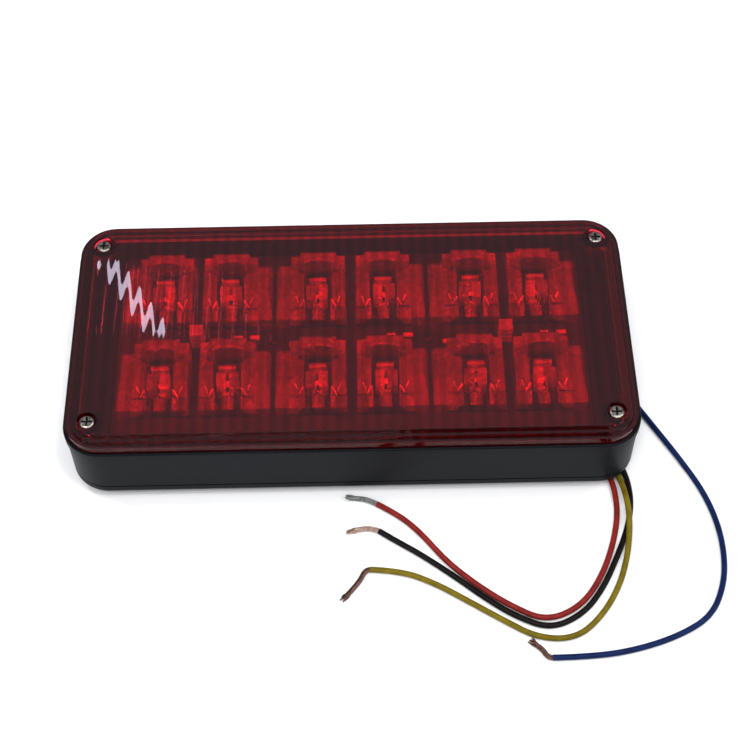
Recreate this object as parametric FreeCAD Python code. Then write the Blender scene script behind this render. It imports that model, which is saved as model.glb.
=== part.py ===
"""Surface-mount trailer tail light: black tub housing, terraced red lens, twelve LED optics
on one circuit board, and four loose leads that leave from a rubber gland under the base.

Frame: millimetres, +Z out through the lens, +X along the long side, origin at the centre of
the back where the foam gasket meets the surface that the light is fixed to or lies on.
"""
import FreeCAD, Part
import math
import os

V = FreeCAD.Vector
UP = V(0, 0, 1)

# ---------------------------------------------------------------- driving dimensions
LENGTH = 194.0            # housing collar, long side
WIDTH = 96.0              # housing collar, short side
CORNER_R = 13.0           # collar corner radius in plan

GASKET_T = 3.0            # foam ring under the base
GASKET_W = 6.0
GASKET_INSET = 3.8        # from the base outline

BASE_INSET = 0.5          # base outline inside the collar outline, each side
BASE_ROUND = 2.6          # round along the bottom edge
WALL_INSET = 0.4          # tub wall under the collar, inside the collar outline
GROOVE_Z = 7.4            # thin groove round the wall
GROOVE_H = 0.5
GROOVE_D = 0.25
WALL = 2.2
FLOOR_T = 2.2
LENS_INSET = 0.9          # lens flange inside the collar outline
COLLAR_H = 3.4
RIM_Z = 28.0              # top of the housing rim, where the lens flange sits
RIM_ROUND = 0.6

FLANGE_T = 3.1            # lens flange above the rim
STEP_H = 1.15             # each of the two border steps
STEP_IN = 1.8
LENS_T = 2.0              # window thickness
LENS_LIP = 1.2            # lens cavity edge inside the face outline

LENS_SCREW_IN_X = 9.0     # screw axis inside the collar outline
LENS_SCREW_IN_Y = 10.4
LENS_SCREW_R = 1.5        # M3
SCREW_HEAD_R = 2.8
SCREW_HEAD_H = 2.0
SCREW_LEN = 12.0          # under the head
SCREW_WELL_R = 3.4
SCREW_BOSS_R = 4.6
FIT_GAP = 0.05            # radial gap of a screw in its pilot hole
THROUGH_GAP = 0.25        # radial gap of a screw through a clamped part

SEAL_W = 1.3
SEAL_D = 1.2
SEAL_INSET = 1.35         # from the collar outline to the seal's outer side

BOARD_IN_X = 14.5         # board edge inside the collar outline
BOARD_IN_Y = 9.5
BOARD_T = 1.6
BOARD_TOP_Z = 19.0
BOARD_Y = 3.5             # the board sits off centre, towards +Y
BOARD_CORNER_R = 3.0
BOARD_SCREW_OFF = 8.0     # outer board screw from the centre of the outer pair
BOARD_SCREW_R = 1.25      # M2.5
BOARD_SCREW_LEN = 7.0
BOARD_SCREW_HEAD_R = 2.3
BOARD_SCREW_HEAD_H = 1.5
BOARD_BOSS_R = 3.4

PAIR_EDGE = 1.5           # board beyond the three pairs of optics, each end
ROW_EDGE = 6.8            # board beyond the rows
ROW_GAP = 11.4            # between the two rows
PAIR_HALF_GAP = 1.75
OPTIC_BLOCK_W = 19.5
OPTIC_WING_W = 4.9
OPTIC_LENS_GAP = 1.0      # from the top of an optic to the window
OPTIC_PLATE_T = 1.4
EMITTER_SIDE = 3.5
EMITTER_BASE_H = 1.0
EMITTER_DOME_R = 1.45
EMITTER_GAP = 0.4         # clearance between an emitter and the pocket of its optic
EMITTER_Y = -1.0          # emitter from the optic's centre

POST_SIDE = 4.6           # square ribbed spacer posts between the rows
POST_H = 7.5
POST_RIB_D = 0.5

INSERT_X = 140.0          # spacing of the four mounting inserts
INSERT_Y = 56.0
INSERT_BORE_R = 2.0       # M4
INSERT_R = 2.9
INSERT_LEN = 7.0
INSERT_BOSS_R = 5.0

GLAND_IN_X = 22.5         # gland inside the collar outline, at the +X end
GLAND_Y = 3.4
GLAND_BOOT_X = 9.0
GLAND_BOOT_Y = 9.8
GLAND_LIFT = 0.1          # boot above the surface
GLAND_NECK_R = 3.8
GLAND_HEAD_R = 5.4
GLAND_HEAD_H = 2.0
HEADER_H = 5.6             # four-way header under the board

WIRE_R = 1.0
WIRE_Z = GLAND_LIFT + WIRE_R
STRAND_R = 0.7
LEAD_SPACING = 2.3
ARC_SHARE = 0.45          # share of the shorter run that an arc may use

# ---------------------------------------------------------------- values worked out
FACE_Z = RIM_Z + FLANGE_T + 2 * STEP_H
FLANGE_TOP_Z = RIM_Z + FLANGE_T
FLOOR_Z = GASKET_T + FLOOR_T
BOARD_UNDER_Z = BOARD_TOP_Z - BOARD_T
FACE_INSET = LENS_INSET + 2 * STEP_IN
LENS_SCREW_X = LENGTH / 2 - LENS_SCREW_IN_X
LENS_SCREW_Y = WIDTH / 2 - LENS_SCREW_IN_Y
BOARD_L = LENGTH - 2 * BOARD_IN_X
BOARD_W = WIDTH - 2 * BOARD_IN_Y
PAIR_PITCH = (BOARD_L - 2 * PAIR_EDGE) / 3
PAIR_X = (-PAIR_PITCH, 0.0, PAIR_PITCH)
BOARD_SCREW_X = (PAIR_PITCH / 2, PAIR_PITCH + BOARD_SCREW_OFF)
OPTIC_DEPTH = (BOARD_W - 2 * ROW_EDGE - ROW_GAP) / 2
OPTIC_H = FACE_Z - LENS_T - OPTIC_LENS_GAP - BOARD_TOP_Z
ROW_PITCH = OPTIC_DEPTH + ROW_GAP
GLAND_X = LENGTH / 2 - GLAND_IN_X
GAP_IN_GASKET_X = GLAND_X + 6.0
GAP_IN_GASKET_Y = GLAND_Y + WIRE_R + 4.0
CORNERS = [(sx, sy) for sx in (-1, 1) for sy in (-1, 1)]


# ---------------------------------------------------------------- shared shapes
def rounded_wire(length, width, radius, z):
    """Closed rounded rectangle centred on the origin at height z."""
    x, y = length / 2, width / 2
    d = radius * (1 - math.sqrt(0.5))
    ring = [
        Part.LineSegment(V(-x + radius, -y, z), V(x - radius, -y, z)),
        Part.Arc(V(x - radius, -y, z), V(x - d, -y + d, z), V(x, -y + radius, z)),
        Part.LineSegment(V(x, -y + radius, z), V(x, y - radius, z)),
        Part.Arc(V(x, y - radius, z), V(x - d, y - d, z), V(x - radius, y, z)),
        Part.LineSegment(V(x - radius, y, z), V(-x + radius, y, z)),
        Part.Arc(V(-x + radius, y, z), V(-x + d, y - d, z), V(-x, y - radius, z)),
        Part.LineSegment(V(-x, y - radius, z), V(-x, -y + radius, z)),
        Part.Arc(V(-x, -y + radius, z), V(-x + d, -y + d, z), V(-x + radius, -y, z)),
    ]
    return Part.Wire([edge.toShape() for edge in ring])


def rounded_slab(inset, z_low, z_high, radius=None):
    """Prism of the collar outline moved inwards by inset."""
    if radius is None:
        radius = CORNER_R - inset
    wire = rounded_wire(LENGTH - 2 * inset, WIDTH - 2 * inset, radius, z_low)
    return Part.Face(wire).extrude(V(0, 0, z_high - z_low))


def box(x, y, z, low):
    return Part.makeBox(x, y, z, low)


def centred_box(x, y, z, centre_low):
    return Part.makeBox(x, y, z, V(centre_low.x - x / 2, centre_low.y - y / 2, centre_low.z))


def rod(radius, height, low):
    return Part.makeCylinder(radius, height, low, UP)


def union(shapes):
    result = shapes[0].multiFuse(shapes[1:]) if len(shapes) > 1 else shapes[0]
    return result.removeSplitter()


def save(name, shape):
    """Write one node; a group of separate solids is kept as a compound."""
    for solid in shape.Solids:
        if not solid.isValid():
            raise ValueError(name + " holds a faulty solid")
    kept = shape.Solids[0] if len(shape.Solids) == 1 else Part.makeCompound(shape.Solids)
    kept.exportStep(os.path.join("parts", name + ".step"))
    print(name, "solids", len(shape.Solids), "volume %.1f" % kept.Volume)


# ---------------------------------------------------------------- housing and its fixings
def tub_loft(shrink, z_low, z_high, corner_cut):
    """Tapered tub: the base outline at z_low, the wall outline at z_high, both moved in."""
    slope = (BASE_INSET - WALL_INSET) / (RIM_Z - COLLAR_H - GASKET_T)
    low_inset = BASE_INSET - slope * (z_low - GASKET_T) + shrink
    high_inset = BASE_INSET - slope * (z_high - GASKET_T) + shrink
    low = rounded_wire(LENGTH - 2 * low_inset, WIDTH - 2 * low_inset, CORNER_R - corner_cut, z_low)
    high = rounded_wire(LENGTH - 2 * high_inset, WIDTH - 2 * high_inset,
                        CORNER_R - corner_cut, z_high)
    return Part.makeLoft([low, high], True, True)


def make_housing():
    collar_low = RIM_Z - COLLAR_H
    tub = tub_loft(0, GASKET_T, collar_low, 0)
    tub = tub.makeFillet(BASE_ROUND, [e for e in tub.Edges if e.CenterOfMass.z < GASKET_T + 0.01])
    around = rounded_slab(0, GROOVE_Z, GROOVE_Z + GROOVE_H)
    tub = tub.cut(around.cut(rounded_slab(BASE_INSET + GROOVE_D, 0, RIM_Z)))
    collar = rounded_slab(0, collar_low, RIM_Z)
    collar = collar.makeFillet(RIM_ROUND, [e for e in collar.Edges if e.CenterOfMass.z > RIM_Z - 0.01])
    cavity = tub_loft(WALL, FLOOR_Z, collar_low, WALL)
    mouth = rounded_slab(LENS_INSET + WALL, collar_low, RIM_Z)
    shell = tub.fuse(collar).cut(cavity).cut(mouth)

    added = [shell]
    limit = tub_loft(WALL / 2, FLOOR_Z - FLOOR_T / 2, RIM_Z, WALL / 2)
    for sx, sy in CORNERS:
        centre = V(sx * LENS_SCREW_X, sy * LENS_SCREW_Y, FLOOR_Z - 1)
        added.append(rod(SCREW_BOSS_R, RIM_Z - centre.z, centre).common(limit))
        insert = V(sx * INSERT_X / 2, sy * INSERT_Y / 2, FLOOR_Z - 1)
        boss_top = GASKET_T + INSERT_LEN + WALL
        added.append(rod(INSERT_BOSS_R, boss_top - insert.z, insert))
    for x in BOARD_SCREW_X:
        for sx in (-1, 1):
            foot = V(sx * x, BOARD_Y, FLOOR_Z - 1)
            added.append(rod(BOARD_BOSS_R, BOARD_UNDER_Z - foot.z, foot))
    for sx, sy in CORNERS:
        rest = V(sx * (BOARD_L / 2 - 12), BOARD_Y + sy * (BOARD_W / 2 - 3), FLOOR_Z - 1)
        added.append(centred_box(8, 2, BOARD_UNDER_Z - rest.z, rest))
    housing = union(added)

    cuts = []
    groove = rounded_slab(SEAL_INSET, RIM_Z - SEAL_D, RIM_Z + 1)
    groove = groove.cut(rounded_slab(SEAL_INSET + SEAL_W, RIM_Z - SEAL_D - 1, RIM_Z + 2))
    cuts.append(groove)
    pilot_depth = SCREW_LEN - FLANGE_T + 1
    for sx, sy in CORNERS:
        x, y = sx * LENS_SCREW_X, sy * LENS_SCREW_Y
        cuts.append(rod(LENS_SCREW_R + FIT_GAP, pilot_depth + 1, V(x, y, RIM_Z - pilot_depth)))
        x, y = sx * INSERT_X / 2, sy * INSERT_Y / 2
        cuts.append(rod(INSERT_R, INSERT_LEN + 1, V(x, y, GASKET_T - 1)))
    for x in BOARD_SCREW_X:
        for sx in (-1, 1):
            low = BOARD_TOP_Z - BOARD_SCREW_LEN - 0.5
            cuts.append(rod(BOARD_SCREW_R + FIT_GAP, BOARD_TOP_Z - low, V(sx * x, BOARD_Y, low)))
    cuts.append(rod(GLAND_NECK_R, FLOOR_T + 2, V(GLAND_X, GLAND_Y, GASKET_T - 1)))
    return housing.cut(Part.makeCompound(cuts))


def make_mounting_gasket():
    """Foam ring, left open along the corner and side where the leads come out."""
    outer = rounded_slab(BASE_INSET + GASKET_INSET, 0, GASKET_T, CORNER_R - GASKET_INSET)
    inner = rounded_slab(BASE_INSET + GASKET_INSET + GASKET_W, -1, GASKET_T + 1,
                         CORNER_R - GASKET_INSET - GASKET_W)
    gap = box(LENGTH, WIDTH + GAP_IN_GASKET_Y, GASKET_T + 2,
              V(GAP_IN_GASKET_X, -WIDTH, -1))
    return outer.cut(inner).cut(gap)


def make_mounting_inserts():
    """Threaded brass sleeves pressed into the back, each with two knurl grooves."""
    sleeves = []
    for sx, sy in CORNERS:
        low = V(sx * INSERT_X / 2, sy * INSERT_Y / 2, GASKET_T)
        sleeve = rod(INSERT_R, INSERT_LEN, low).cut(rod(INSERT_BORE_R, INSERT_LEN, low))
        for share in (0.3, 0.65):
            level = low + V(0, 0, share * INSERT_LEN)
            ring = rod(INSERT_R + 1, 0.8, level).cut(rod(INSERT_R - 0.3, 0.8, level))
            sleeve = sleeve.cut(ring)
        sleeves.append(sleeve)
    return Part.makeCompound(sleeves)


# ---------------------------------------------------------------- lens, seal and screws
def make_lens():
    flange = rounded_slab(LENS_INSET, RIM_Z, FLANGE_TOP_Z)
    step = rounded_slab(LENS_INSET + STEP_IN, FLANGE_TOP_Z, FLANGE_TOP_Z + STEP_H)
    face = rounded_slab(FACE_INSET, FLANGE_TOP_Z + STEP_H, FACE_Z)
    solid = union([flange, step, face])
    top_edges = [e for e in solid.Edges if e.CenterOfMass.z > FACE_Z - 0.01]
    solid = solid.makeFillet(0.5, top_edges)

    cavity = rounded_slab(FACE_INSET + LENS_LIP, RIM_Z - 1, FACE_Z - LENS_T)
    for sx, sy in CORNERS:
        pad = rod(SCREW_BOSS_R, FACE_Z, V(sx * LENS_SCREW_X, sy * LENS_SCREW_Y, 0))
        cavity = cavity.cut(pad)
    solid = solid.cut(cavity)
    for sx, sy in CORNERS:
        x, y = sx * LENS_SCREW_X, sy * LENS_SCREW_Y
        solid = solid.cut(rod(SCREW_WELL_R, FACE_Z, V(x, y, FLANGE_TOP_Z)))
        solid = solid.cut(rod(LENS_SCREW_R + THROUGH_GAP, FACE_Z, V(x, y, RIM_Z - 1)))
    return solid


def make_lens_seal():
    outer = rounded_slab(SEAL_INSET, RIM_Z - SEAL_D, RIM_Z)
    inner = rounded_slab(SEAL_INSET + SEAL_W, RIM_Z - SEAL_D - 1, RIM_Z + 1)
    return outer.cut(inner)


def make_screw(head_r, head_h, shank_r, shank_len, seat, cross_w):
    """Pan head with a cross recess; seat is the point under the head."""
    head = rod(head_r, head_h, seat)
    top = [e for e in head.Edges if e.CenterOfMass.z > seat.z + head_h - 0.01
           and e.Length > head_r * 4]
    head = head.makeFillet(head_h * 0.55, top)
    shank = rod(shank_r, shank_len, seat - V(0, 0, shank_len))
    screw = head.fuse(shank)
    recess_d = head_h * 0.6
    level = seat + V(0, 0, head_h - recess_d)
    arm = head_r * 1.25
    screw = screw.cut(centred_box(arm, cross_w, recess_d + 1, level))
    return screw.cut(centred_box(cross_w, arm, recess_d + 1, level))


def make_lens_screws():
    screws = []
    for sx, sy in CORNERS:
        seat = V(sx * LENS_SCREW_X, sy * LENS_SCREW_Y, FLANGE_TOP_Z)
        screws.append(make_screw(SCREW_HEAD_R, SCREW_HEAD_H, LENS_SCREW_R, SCREW_LEN, seat, 0.8))
    return Part.makeCompound(screws)


# ---------------------------------------------------------------- board and what it carries
def make_circuit_board():
    wire = rounded_wire(BOARD_L, BOARD_W, BOARD_CORNER_R, BOARD_UNDER_Z)
    board = Part.Face(wire).extrude(V(0, 0, BOARD_T))
    board.translate(V(0, BOARD_Y, 0))
    for x in BOARD_SCREW_X:
        for sx in (-1, 1):
            hole = rod(BOARD_SCREW_R + THROUGH_GAP, BOARD_T + 2,
                       V(sx * x, BOARD_Y, BOARD_UNDER_Z - 1))
            board = board.cut(hole)
    return board


def make_board_screws():
    screws = []
    for x in BOARD_SCREW_X:
        for sx in (-1, 1):
            seat = V(sx * x, BOARD_Y, BOARD_TOP_Z)
            screws.append(make_screw(BOARD_SCREW_HEAD_R, BOARD_SCREW_HEAD_H, BOARD_SCREW_R,
                                     BOARD_SCREW_LEN, seat, 0.7))
    return Part.makeCompound(screws)


def make_spacer_post(x):
    """Square post with ribbed sides that stands between the two rows of optics."""
    low = V(x, BOARD_Y, BOARD_TOP_Z)
    post = centred_box(POST_SIDE, POST_SIDE, POST_H, low)
    for rib in range(3):
        level = low + V(0, 0, 1.4 + 1.9 * rib)
        ring = centred_box(POST_SIDE + 1, POST_SIDE + 1, 0.9, level)
        core = centred_box(POST_SIDE - 2 * POST_RIB_D, POST_SIDE - 2 * POST_RIB_D, 0.9, level)
        post = post.cut(ring.cut(core))
    return post


def optic_shape():
    """One clear optic, its inner side on x = 0 and its wing towards +X, foot on z = 0."""
    w, half_d, h = OPTIC_BLOCK_W, OPTIC_DEPTH / 2, OPTIC_H
    mid = w / 2
    plate = box(w, OPTIC_DEPTH, OPTIC_PLATE_T, V(0, -half_d, 0))

    crown_w, arch = w - 1.2, 2.0
    arch_r = (arch ** 2 + (crown_w / 2) ** 2) / (2 * arch)
    crown = box(crown_w, 5.6, h, V(0.6, half_d - 5.6, 0))
    bow = Part.makeCylinder(arch_r, OPTIC_DEPTH, V(mid, -half_d, h - arch_r), V(0, 1, 0))
    crown = crown.common(bow).cut(rod(7.4, h, V(mid, half_d - 11.0, OPTIC_PLATE_T)))

    columns = []
    for low_x, wide in ((3.1, 6.0), (10.3, 6.1)):
        profile = [V(low_x, -8.8, 0), V(low_x, 4.2, 0), V(low_x, 3.0, h - 2.6),
                   V(low_x, -2.6, h - 1.2), V(low_x, -8.0, h - 4.4), V(low_x, -8.8, 0)]
        columns.append(Part.Face(Part.makePolygon(profile)).extrude(V(wide, 0, 0)))
    web = box(2.0, 9.0, h - 4.2, V(mid - 1.0, -6.5, 0))

    cheeks = []
    for low_x in (0.0, w - 2.4):
        profile = [V(low_x, -half_d, 0), V(low_x, half_d - 3.5, 0), V(low_x, half_d - 5.0, h - 3.4),
                   V(low_x, -half_d + 3.6, h - 5.2), V(low_x, -half_d, 3.2), V(low_x, -half_d, 0)]
        cheeks.append(Part.Face(Part.makePolygon(profile)).extrude(V(2.4, 0, 0)))
    foot = box(w, 3.4, 4.6, V(0, -half_d, 0)).cut(box(5.0, 5.0, 4.0, V(mid - 2.5, -half_d - 1, 1.6)))

    profile = [V(w, -half_d, 0), V(w + OPTIC_WING_W, -half_d, 0), V(w + OPTIC_WING_W, -half_d, 5.0),
               V(w + 3.4, -half_d, h - 3.2), V(w, -half_d, h - 3.2), V(w, -half_d, 0)]
    wing = Part.Face(Part.makePolygon(profile)).extrude(V(0, OPTIC_DEPTH - 4.0, 0))

    optic = union([plate, crown, web, foot, wing] + columns + cheeks)
    side = EMITTER_SIDE + 2 * EMITTER_GAP
    top = EMITTER_BASE_H + EMITTER_DOME_R + EMITTER_GAP
    return optic.cut(centred_box(side, side, top, V(mid, EMITTER_Y, 0)))


def optic_places():
    """Number, x of the inner side, y, and the side the wing is on, left to right, back to front."""
    number = 0
    for row_sign in (1, -1):
        y = BOARD_Y + row_sign * ROW_PITCH / 2
        for pair_x in PAIR_X:
            for side in (-1, 1):
                number += 1
                yield number, pair_x + side * PAIR_HALF_GAP, y, side


def make_optic(x, y, side):
    optic = optic_shape()
    if side < 0:
        optic = optic.mirror(V(0, 0, 0), V(1, 0, 0))
    optic.translate(V(x, y, BOARD_TOP_Z))
    return optic


def make_emitter(x, y, side):
    """Ceramic base with a silicone dome on it."""
    low = V(x + side * OPTIC_BLOCK_W / 2, y + EMITTER_Y, BOARD_TOP_Z)
    base = centred_box(EMITTER_SIDE, EMITTER_SIDE, EMITTER_BASE_H, low)
    dome = Part.makeSphere(EMITTER_DOME_R, low + V(0, 0, EMITTER_BASE_H), UP, 0, 90, 360)
    return base.fuse(dome)


def under_board(x, y, length, width, height):
    return centred_box(length, width, height, V(x, y + BOARD_Y, BOARD_UNDER_Z - height))


def make_inductor():
    body = under_board(-20, 14, 12, 12, 6.0)
    return body.makeFillet(1.5, [e for e in body.Edges if abs(e.tangentAt(e.FirstParameter).z) > 0.9])


def make_smoothing_capacitors():
    cans = [rod(4.0, 8.5, V(x, BOARD_Y + 16, BOARD_UNDER_Z - 8.5)) for x in (-44, -34)]
    return Part.makeCompound(cans)


def make_driver_chips():
    return Part.makeCompound([under_board(x, -16, 5.0, 6.2, 1.6) for x in (-48, 0, 48)])


def make_flash_chip():
    return under_board(18, 15, 5.2, 5.2, 1.2)


def make_diodes():
    return Part.makeCompound([under_board(x, 18, 4.6, 2.8, 2.3) for x in (48, 56)])


def make_ceramic_capacitors():
    places = [(x + d, -7) for x in (-48, 0, 48) for d in (-3, 3)]
    return Part.makeCompound([under_board(x, y, 3.2, 1.6, 1.4) for x, y in places])


def make_resistors():
    """Small current-setting resistors on the front of the board, between the rows."""
    chips = []
    for pair_x in PAIR_X:
        for d in (-20.0, -14.0, 14.0, 20.0):
            low = V(pair_x + d, BOARD_Y + math.copysign(1.5, d), BOARD_TOP_Z)
            chips.append(centred_box(3.2, 1.6, 0.6, low))
    return Part.makeCompound(chips)


def make_wire_header():
    """Four-way header under the board, straight above the gland, where the leads plug in."""
    low = V(GLAND_X, GLAND_Y, BOARD_UNDER_Z - HEADER_H)
    return centred_box(4 * LEAD_SPACING + 1.6, 5.0, HEADER_H, low)


# ---------------------------------------------------------------- leads
def route_wire(points):
    """Straight runs joined by tangent arcs; returns the wire and the smallest arc radius."""
    edges = []
    start = points[0]
    smallest = None
    for here, corner, after in zip(points, points[1:], points[2:]):
        back, ahead = here - corner, after - corner
        turn = math.pi - back.getAngle(ahead)
        reach = ARC_SHARE * min(back.Length, ahead.Length)
        radius = reach / math.tan(turn / 2)
        smallest = radius if smallest is None else min(smallest, radius)
        back.normalize()
        ahead.normalize()
        arc_in, arc_out = corner + back * reach, corner + ahead * reach
        towards = back + ahead
        towards.normalize()
        middle = corner + towards * (radius / math.cos(turn / 2) - radius)
        edges.append(Part.LineSegment(start, arc_in).toShape())
        edges.append(Part.Arc(arc_in, middle, arc_out).toShape())
        start = arc_out
    edges.append(Part.LineSegment(start, points[-1]).toShape())
    return Part.Wire(edges), smallest


def make_tube(name, flat_points, radius):
    """Round tube along the route; prints its length, smallest radius and volume ratio."""
    points = [V(GLAND_X + x, GLAND_Y + y, z) for x, y, z in flat_points]
    path, smallest = route_wire(points)
    along = points[1] - points[0]
    ring = Part.Wire([Part.Circle(points[0], along, radius).toShape()])
    tube = path.makePipeShell([ring], True, True)
    ratio = tube.Volume / (math.pi * radius ** 2 * path.Length)
    print(name, "length %.1f smallest radius %.1f volume ratio %.4f"
          % (path.Length, smallest, ratio))
    return tube


# Each route is a list of points from the gland's centre, with z above the surface. All lie flat
# on it but for the yellow lead's low hump over the black one.
FLOOR = WIRE_Z
BOOT_FRONT = -GLAND_BOOT_Y / 2
BOOT_RIGHT = GLAND_BOOT_X / 2

WIRE_ROUTES = {
    "red_wire": [
        (-LEAD_SPACING, BOOT_FRONT, FLOOR), (-LEAD_SPACING, -13.9, FLOOR), (2.1, -24.9, FLOOR),
        (8.9, -35.4, FLOOR), (14.5, -46.9, FLOOR), (15.6, -59.4, FLOOR), (12.9, -72.4, FLOOR),
        (7.1, -86.4, FLOOR), (-0.9, -96.8, FLOOR), (-12.5, -101.3, FLOOR), (-23.7, -94.8, FLOOR),
        (-33.3, -87.2, FLOOR), (-43.1, -78.0, FLOOR), (-51.9, -67.0, FLOOR),
        (-59.6, -60.3, FLOOR), (-66.7, -56.0, FLOOR)],
    "black_wire": [
        (LEAD_SPACING, BOOT_FRONT, FLOOR), (LEAD_SPACING, -13.9, FLOOR), (7.7, -24.7, FLOOR),
        (15.1, -35.2, FLOOR), (19.7, -45.9, FLOOR), (20.5, -56.9, FLOOR), (17.9, -67.8, FLOOR),
        (13.1, -78.8, FLOOR), (7.5, -89.9, FLOOR), (0.3, -99.0, FLOOR), (-10.9, -104.4, FLOOR),
        (-22.3, -99.4, FLOOR), (-31.7, -92.6, FLOOR), (-41.9, -84.0, FLOOR),
        (-52.5, -75.8, FLOOR), (-59.9, -71.0, FLOOR), (-66.2, -66.6, FLOOR)],
    "yellow_wire": [
        (0.0, BOOT_FRONT, FLOOR), (0.0, -13.9, FLOOR), (4.9, -24.8, FLOOR), (12.0, -35.3, FLOOR),
        (17.1, -46.4, FLOOR), (18.4, -55.9, 3.8), (18.7, -65.9, 3.8), (17.1, -76.9, 2.3),
        (13.5, -88.2, FLOOR), (6.9, -99.2, FLOOR), (-2.5, -107.8, FLOOR), (-15.1, -107.6, FLOOR),
        (-26.9, -100.4, FLOOR), (-38.3, -93.0, FLOOR), (-48.1, -86.8, FLOOR),
        (-59.0, -82.0, FLOOR), (-69.5, -81.2, FLOOR)],
    "blue_wire": [
        (BOOT_RIGHT, 0.0, FLOOR), (8.7, 0.0, FLOOR), (12.8, -1.1, FLOOR), (16.4, -3.2, FLOOR),
        (19.4, -6.2, FLOOR), (24.1, -13.5, FLOOR), (32.1, -27.7, FLOOR), (39.4, -41.0, FLOOR),
        (45.4, -53.4, FLOOR), (48.6, -65.4, FLOOR), (49.4, -77.4, FLOOR), (47.7, -89.2, FLOOR),
        (42.1, -100.8, FLOOR), (30.7, -107.6, FLOOR), (16.7, -112.2, FLOOR),
        (2.5, -114.4, FLOOR), (-11.1, -114.5, FLOOR)],
}

# The bare strands start straight out of the insulation, then go through these points.
STRAND_STUB = 1.6
STRAND_POINTS = {
    "red": [(-71.7, -53.6, 0.9), (-77.7, -53.0, 0.8)],
    "black": [(-72.7, -65.4, 0.9), (-77.8, -67.1, 0.8)],
    "yellow": [(-73.3, -86.3, 0.9), (-79.6, -93.0, 0.8)],
    "blue": [(-14.3, -111.0, 0.9), (-18.5, -107.9, 0.8)],
}


def strand_route(colour):
    """The wire's last point, a stub in line with its last run, and the points after it."""
    before, end = [V(*p) for p in WIRE_ROUTES[colour + "_wire"][-2:]]
    along = end - before
    along.normalize()
    stub = end + along * STRAND_STUB
    return [tuple(end), tuple(stub)] + STRAND_POINTS[colour]


def make_wire_gland():
    """Rubber plug: head inside, neck through the floor, low boot under the base."""
    head = rod(GLAND_HEAD_R, GLAND_HEAD_H, V(GLAND_X, GLAND_Y, FLOOR_Z))
    neck = rod(GLAND_NECK_R, FLOOR_T, V(GLAND_X, GLAND_Y, GASKET_T))
    boot = centred_box(GLAND_BOOT_X, GLAND_BOOT_Y, GASKET_T - GLAND_LIFT,
                       V(GLAND_X, GLAND_Y, GLAND_LIFT))
    return union([head, neck, boot])


def make_inner_leads():
    """The leads' inner ends, straight up from the gland's head to the header."""
    low_z = FLOOR_Z + GLAND_HEAD_H
    height = BOARD_UNDER_Z - HEADER_H - low_z
    return Part.makeCompound([rod(WIRE_R, height, V(GLAND_X + (n - 1.5) * LEAD_SPACING, GLAND_Y, low_z))
                              for n in range(4)])


# ---------------------------------------------------------------- build
def main():
    os.makedirs("parts", exist_ok=True)
    save("housing", make_housing())
    save("mounting_gasket", make_mounting_gasket())
    save("mounting_inserts", make_mounting_inserts())
    save("lens", make_lens())
    save("lens_seal", make_lens_seal())
    save("lens_screws", make_lens_screws())
    save("circuit_board", make_circuit_board())
    save("board_screws", make_board_screws())
    for number, x in enumerate((PAIR_X[0], PAIR_X[-1]), start=1):
        save("spacer_post_%d" % number, make_spacer_post(x))
    for number, x, y, side in optic_places():
        save("optic_%02d" % number, make_optic(x, y, side))
        save("led_%02d" % number, make_emitter(x, y, side))
    save("inductor", make_inductor())
    save("smoothing_capacitors", make_smoothing_capacitors())
    save("driver_chips", make_driver_chips())
    save("flash_chip", make_flash_chip())
    save("diodes", make_diodes())
    save("ceramic_capacitors", make_ceramic_capacitors())
    save("resistors", make_resistors())
    save("wire_header", make_wire_header())
    save("wire_gland", make_wire_gland())
    save("inner_leads", make_inner_leads())
    for name, points in WIRE_ROUTES.items():
        save(name, make_tube(name, points, WIRE_R))
    for colour in STRAND_POINTS:
        name = colour + "_strands"
        save(name, make_tube(name, strand_route(colour), STRAND_R))


main()
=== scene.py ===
import bpy
import math
import random
from mathutils import Matrix, Vector


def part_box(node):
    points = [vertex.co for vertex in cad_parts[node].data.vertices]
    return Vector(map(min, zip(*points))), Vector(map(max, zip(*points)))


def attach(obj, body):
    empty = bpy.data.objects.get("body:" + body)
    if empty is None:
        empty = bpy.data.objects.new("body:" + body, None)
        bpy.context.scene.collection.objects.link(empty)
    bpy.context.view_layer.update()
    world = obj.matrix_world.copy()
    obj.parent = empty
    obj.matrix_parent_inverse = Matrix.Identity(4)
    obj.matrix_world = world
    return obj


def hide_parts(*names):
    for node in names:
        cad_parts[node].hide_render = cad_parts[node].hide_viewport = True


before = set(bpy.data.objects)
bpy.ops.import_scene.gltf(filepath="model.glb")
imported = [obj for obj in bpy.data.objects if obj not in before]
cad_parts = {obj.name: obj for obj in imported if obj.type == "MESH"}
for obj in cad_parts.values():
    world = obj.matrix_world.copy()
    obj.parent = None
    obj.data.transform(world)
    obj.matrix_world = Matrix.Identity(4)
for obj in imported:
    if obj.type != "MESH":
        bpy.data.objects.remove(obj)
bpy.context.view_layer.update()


# Camera: on a tripod in front of the light, looking down on it as it lies on its back. The aim
# point is on the surface just beside the middle of the light, and a long lens keeps it square.
AIM = Vector((0.0078, 0.0025, 0.0))
DISTANCE = 0.5936
ELEVATION, SWING, ROLL = (math.radians(a) for a in (55.04, -0.46, -0.735))
FOCAL_MM = 78.86

bpy.ops.object.camera_add()
camera = bpy.context.object
camera.data.lens = FOCAL_MM
turn = (Matrix.Rotation(SWING, 3, "Z") @ Matrix.Rotation(math.pi / 2 - ELEVATION, 3, "X")
        @ Matrix.Rotation(ROLL, 3, "Z"))
away = Vector((math.sin(SWING) * math.cos(ELEVATION), -math.cos(SWING) * math.cos(ELEVATION),
               math.sin(ELEVATION)))
camera.rotation_euler = turn.to_euler()
camera.location = AIM + DISTANCE * away
bpy.context.scene.camera = camera


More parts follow.
